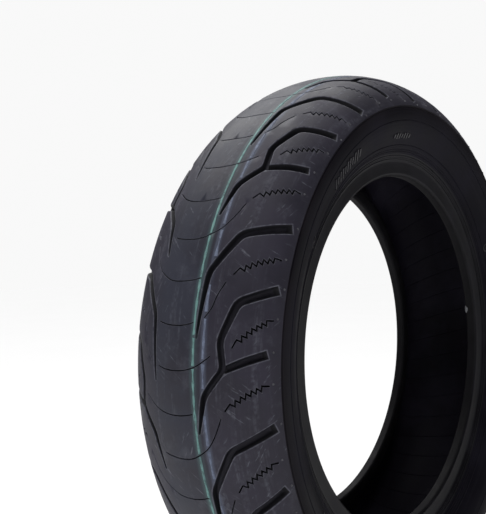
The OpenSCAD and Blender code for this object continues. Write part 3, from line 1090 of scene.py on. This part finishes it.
def sidewall_rubber():
    """Near-black moulded rubber with a satin skin, faint turned rings and dusty blotches."""
    s = Shader("sidewall_rubber", Specular_IOR_Level=0.045)
    rings = s.streaks(3, 0.6, s.x * 5, s.radius * 700, s.z * 5)
    blotch, grain = s.noise(20, 4), s.noise(700, 3, 0.65)
    base = s.mix(blotch.fit(0.35, 0.75), (0.0048, 0.0042, 0.0072), (0.0105, 0.0095, 0.0155))
    upper = s.radius.fit(*UPPER_FLANK)
    base = s.mix(upper * blotch.fit(0.2, 0.6) * 0.8, base, (0.0125, 0.0100, 0.0098))
    base = s.mix(rings.fit(0.52, 0.8) * 0.4, base, (0.021, 0.020, 0.025))
    rough = blotch.fit(0.3, 0.7, 0.46, 0.58) + rings.fit(0.4, 0.8) * 0.08
    return s.finish(base, rough, grain * 0.5 + rings * 0.7, 0.0003, 0.3)


def flank_mark_rubber():
    """The sidewalls' raised marks: the same rubber, shinier, and a shade lighter where dust rubs off."""
    s = Shader("flank_mark_rubber", Specular_IOR_Level=0.20)
    rub = s.noise(160, 4, 0.65)
    base = s.mix(rub.fit(0.3, 0.7), (0.0090, 0.0084, 0.0112), (0.0250, 0.0237, 0.0290))
    return s.finish(base, rub.fit(0.3, 0.7, 0.30, 0.44), s.noise(800, 3, 0.6), 0.0002, 0.3)


def rim_strip_rubber():
    """Smooth firm rubber, polished a little by the mould, with fine turned rings."""
    s = Shader("rim_strip_rubber", Specular_IOR_Level=0.08)
    rings = s.streaks(2, 0.6, s.x * 4, s.radius * 1100, s.z * 4)
    blotch = s.noise(35, 3)
    base = s.mix(blotch.fit(0.35, 0.7), (0.0050, 0.0047, 0.0066), (0.0105, 0.0099, 0.0132))
    rough = blotch.fit(0.3, 0.7, 0.36, 0.46) + rings * 0.08
    return s.finish(base, rough, rings + s.noise(600, 2) * 0.3, 0.00025, 0.3)


WEAVE_PITCH = 0.0009


def chafer_rubber():
    """Rubber skimmed over a fine square weave, which shows through."""
    s = Shader("chafer_rubber", Specular_IOR_Level=0.1)
    turns = round(SEAT_R * MM * math.pi / WEAVE_PITCH)
    across = (s.y - s.radius) * (math.pi / WEAVE_PITCH)
    weave = (s.angle * turns).sine() * across.sine() * 0.5 + 0.5
    blotch = s.noise(60, 4)
    base = s.mix(blotch.fit(0.35, 0.7), (0.0040, 0.0037, 0.0048), (0.0080, 0.0075, 0.0092))
    base = s.mix(weave.fit(0.4, 1.0) * 0.25, base, (0.016, 0.015, 0.017))
    return s.finish(base, blotch.fit(0.3, 0.7, 0.55, 0.7), weave + blotch * 0.5, 0.0002, 0.35)


def liner_rubber():
    """Dull inner rubber with release-agent stains."""
    s = Shader("liner_rubber", Specular_IOR_Level=0.12)
    stain, grain = s.noise(14, 5, 0.6), s.noise(500, 3)
    base = s.mix(stain.fit(0.4, 0.75), (0.0085, 0.0070, 0.0130), (0.0240, 0.0215, 0.0340))
    return s.finish(base, stain.fit(0.3, 0.7, 0.5, 0.68), grain + stain, 0.0003, 0.3)


def worn_paint(name, colour, thin):
    """Marking paint that lets the rubber through where it is thin."""
    s = Shader(name, Specular_IOR_Level=0.35)
    patch = s.noise(240, 4, 0.65)
    drag = s.streaks(3, 0.6, s.x * 60, s.y * 900, s.z * 60)
    pale = tuple(min(1.0, c * 1.25) for c in colour)
    base = s.mix(drag.fit(0.3, 0.7), colour, pale)
    base = s.mix((patch + drag).fit(1.0 - thin, 1.35) * 0.8, base, SLATE)
    return s.finish(base, patch.fit(0.3, 0.7, 0.5, 0.72), patch + drag, 0.0002, 0.3)


def light_paint():
    """Pale grey marking paint, a little patchy."""
    s = Shader("light_paint", Specular_IOR_Level=0.4)
    patch = s.noise(500, 3)
    base = s.mix(patch.fit(0.45, 0.75) * 0.5, (0.16, 0.165, 0.18), (0.08, 0.08, 0.09))
    return s.finish(base, patch.fit(0.3, 0.7, 0.45, 0.65), patch, 0.0002, 0.3)


def gum(name, light, dark, scale):
    """Uncured-looking inner rubber with a knit grain."""
    s = Shader(name, Specular_IOR_Level=0.35)
    blotch, grain = s.noise(scale, 4), s.noise(800, 3)
    base = s.mix(blotch.fit(0.3, 0.7), dark, light)
    return s.finish(base, blotch.fit(0.3, 0.7, 0.55, 0.75), grain + blotch, 0.0003, 0.35)


def cord_fabric(name, cord, rubber, bias, pitch):
    """Parallel cords laid at a bias angle, under a skim of rubber."""
    s = Shader(name, Specular_IOR_Level=0.3)
    cords = round(2 * math.pi * OUTER_R * MM * math.cos(math.radians(bias)) / pitch)
    lean = s.y * (2 * math.pi * math.sin(math.radians(bias)) / pitch)
    ridge = (s.angle * cords + lean).sine() * 0.5 + 0.5
    blotch = s.noise(40, 4)
    base = s.mix(ridge.fit(0.25, 0.85) * blotch.fit(0.2, 0.6), rubber, cord)
    return s.finish(base, blotch.fit(0.3, 0.7, 0.6, 0.8), ridge, 0.0004, 0.6)


def bead_steel():
    """Drawn wire with a thin bronze coat."""
    s = Shader("bead_steel", Metallic=1.0)
    drawn = s.streaks(3, 0.6, s.angle * 20, s.radius * 4000, s.y * 4000)
    tarnish = s.noise(120, 4)
    base = s.mix(tarnish.fit(0.4, 0.75), (0.62, 0.40, 0.20), (0.36, 0.22, 0.12))
    return s.finish(base, drawn.fit(0.3, 0.7, 0.25, 0.42), drawn, 0.00005, 0.3)


# ---------------------------------------------------------------- the tyre
GREEN_ARC, GREEN_WIDTH = 16.9, 1.55
VIOLET_ARC, VIOLET_WIDTH = 24.7, 1.9


def dress_inner_layers(slots):
    """The layers inside the tyre keep their shapes and get their own finishes."""
    dressed = {"tread_base": "base", "shoulder_cushion_left": "base", "shoulder_cushion_right": "base",
               "breaker_outer": "breaker_out", "breaker_inner": "breaker_in",
               "carcass_ply_outer": "ply_out", "carcass_ply_inner": "ply_in"}
    for side in ("left", "right"):
        dressed.update({"bead_filler_" + side: "filler", "bead_wrap_" + side: "wrap",
                        "bead_wires_" + side: "steel"})
    for node, key in dressed.items():
        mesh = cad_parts[node].data
        mesh.materials.clear()
        mesh.materials.append(slots[key])


def build_tyre():
    tread, sidewall = tread_rubber(), sidewall_rubber()
    make_tread(tread)
    make_vent_stubs(gum("pip_rubber", (0.10, 0.10, 0.115), (0.05, 0.05, 0.06), 90))
    strip, chafer, marks = rim_strip_rubber(), chafer_rubber(), flank_mark_rubber()
    for side in (LEFT, RIGHT):
        make_sidewall(side, sidewall)
        make_hatch(side, marks)
        make_bosses(side, marks)
        make_rim_strip(side, strip)
        make_chafer(side, chafer)
    liner = liner_rubber()
    make_liner(liner)
    make_liner_ridges(liner)
    make_paint_line("green_stripe", "green_line", GREEN_ARC, GREEN_WIDTH, 7, 2.8,
                    worn_paint("green_paint", GREEN, 0.1), "green_paint")
    make_paint_line("violet_stripe", "violet_line", VIOLET_ARC, VIOLET_WIDTH, 17, 3.0,
                    worn_paint("violet_paint", VIOLET, 0.35), "violet_paint")
    make_bead_mark(light_paint())
    brown, tan, black = (0.13, 0.10, 0.065), (0.22, 0.17, 0.10), (0.02, 0.019, 0.019)
    dress_inner_layers({
        "base": gum("base_rubber", (0.035, 0.035, 0.038), (0.022, 0.022, 0.024), 30),
        "filler": gum("filler_rubber", (0.02, 0.02, 0.022), (0.010, 0.010, 0.011), 60),
        "breaker_out": cord_fabric("breaker_outer_cord", tan, black, 35, 0.0016),
        "breaker_in": cord_fabric("breaker_inner_cord", tan, black, -35, 0.0016),
        "ply_out": cord_fabric("outer_ply_cord", brown, black, 42, 0.0012),
        "ply_in": cord_fabric("inner_ply_cord", brown, black, -42, 0.0012),
        "wrap": cord_fabric("bead_wrap_cord", brown, black, 60, 0.001),
        "steel": bead_steel(),
    })


# ---------------------------------------------------------------- studio
# The studio's lengths are in metres
FLOOR_REACH = 12.0
FLOOR_ROWS = 25
FLOOR_GAP = 0.0002
CAMERA_PLACE = Vector((-0.62035, -0.37351, 0.07245))
CAMERA_TURN = -8.5054
CAMERA_TILT = 6.5172
LENS = 54.584
SENSOR_WIDTH = 36.0
WHITE = (1.0, 1.0, 1.0, 1.0)
ROOM_LIGHT = 0.10
BACKDROP = 0.945
SUN_POWER = 3.2
SUN_SPREAD = 60
SUN_FROM = (0.20, 0.42, 1.0)
FILL_POWER = 19.0
FILL_SIZE = 1.2
FILL_FROM = (-1.4, -0.6, 2.2)
FILL_AIM = (0.0, 0.0, 0.15)


def make_floor():
    """A wide pale floor just under the tyre, a grid so that it isn't one big face."""
    z = -OUTER_R * MM - FLOOR_GAP
    steps = np.linspace(-FLOOR_REACH, FLOOR_REACH, FLOOR_ROWS)
    points = [(x, y, z) for x, y in product(steps, steps)]
    corners = [i * FLOOR_ROWS + j for i, j in product(range(FLOOR_ROWS - 1), repeat=2)]
    faces = [(c, c + FLOOR_ROWS, c + FLOOR_ROWS + 1, c + 1) for c in corners]
    mesh = bpy.data.meshes.new("floor")
    mesh.from_pydata(points, [], faces)
    s = Shader("pale_floor", Specular_IOR_Level=0.1)
    mesh.materials.append(s.finish(s.mix(s.noise(3, 2), (0.93, 0.93, 0.93), (0.95, 0.95, 0.95)), 0.9))
    floor = linked("floor", mesh)


def add_lamp(name, kind, place, aim, **settings):
    """A lamp at one point that shines towards another."""
    lamp = bpy.data.lights.new(name, kind)
    for key, setting in settings.items():
        setattr(lamp, key, setting)
    holder = linked(name, lamp)
    holder.location = place
    holder.rotation_mode = "QUATERNION"
    holder.rotation_quaternion = (Vector(aim) - Vector(place)).to_track_quat("-Z", "Y")


def light_studio():
    """Dim even light from all round, soft light from above and a side, and a backdrop that looks white."""
    world = bpy.data.worlds.new("studio")
    tree = NodeTree(world)
    room, backdrop = (tree.node("ShaderNodeBackground", {}, {"Color": WHITE, "Strength": strength})
                      for strength in (ROOM_LIGHT, BACKDROP))
    seen = tree.node("ShaderNodeLightPath").outputs["Is Camera Ray"]
    either = tree.node("ShaderNodeMixShader", {}, {0: seen, 1: room.outputs[0], 2: backdrop.outputs[0]})
    tree.node("ShaderNodeOutputWorld", {}, {"Surface": either.outputs[0]})
    bpy.context.scene.world = world
    add_lamp("overhead", "SUN", SUN_FROM, (0, 0, 0), angle=math.radians(SUN_SPREAD), energy=SUN_POWER)
    add_lamp("side_fill", "AREA", FILL_FROM, FILL_AIM, shape="DISK", size=FILL_SIZE, energy=FILL_POWER)


def turned(a, b, degrees):
    """Two vectors at right angles, turned in their own plane from the first towards the second."""
    turn = math.radians(degrees)
    return a * math.cos(turn) + b * math.sin(turn), b * math.cos(turn) - a * math.sin(turn)


def place_camera():
    """The camera's aim is turned and tilted a little off the tyre's middle."""
    ahead = -CAMERA_PLACE.normalized()
    right = ahead.cross(Vector((0, 0, 1))).normalized()
    up = right.cross(ahead)
    ahead, right = turned(ahead, right, CAMERA_TURN)
    ahead, up = turned(ahead, up, CAMERA_TILT)
    lens = bpy.data.cameras.new("camera")
    lens.lens = LENS
    lens.sensor_width = SENSOR_WIDTH
    camera = linked("camera", lens)
    camera.matrix_world = Matrix((right, up, -ahead)).transposed().to_4x4()
    camera.location = CAMERA_PLACE
    bpy.context.scene.camera = camera


build_tyre()
make_floor()
light_studio()
place_camera()
bpy.context.scene.view_settings.view_transform = "Standard"
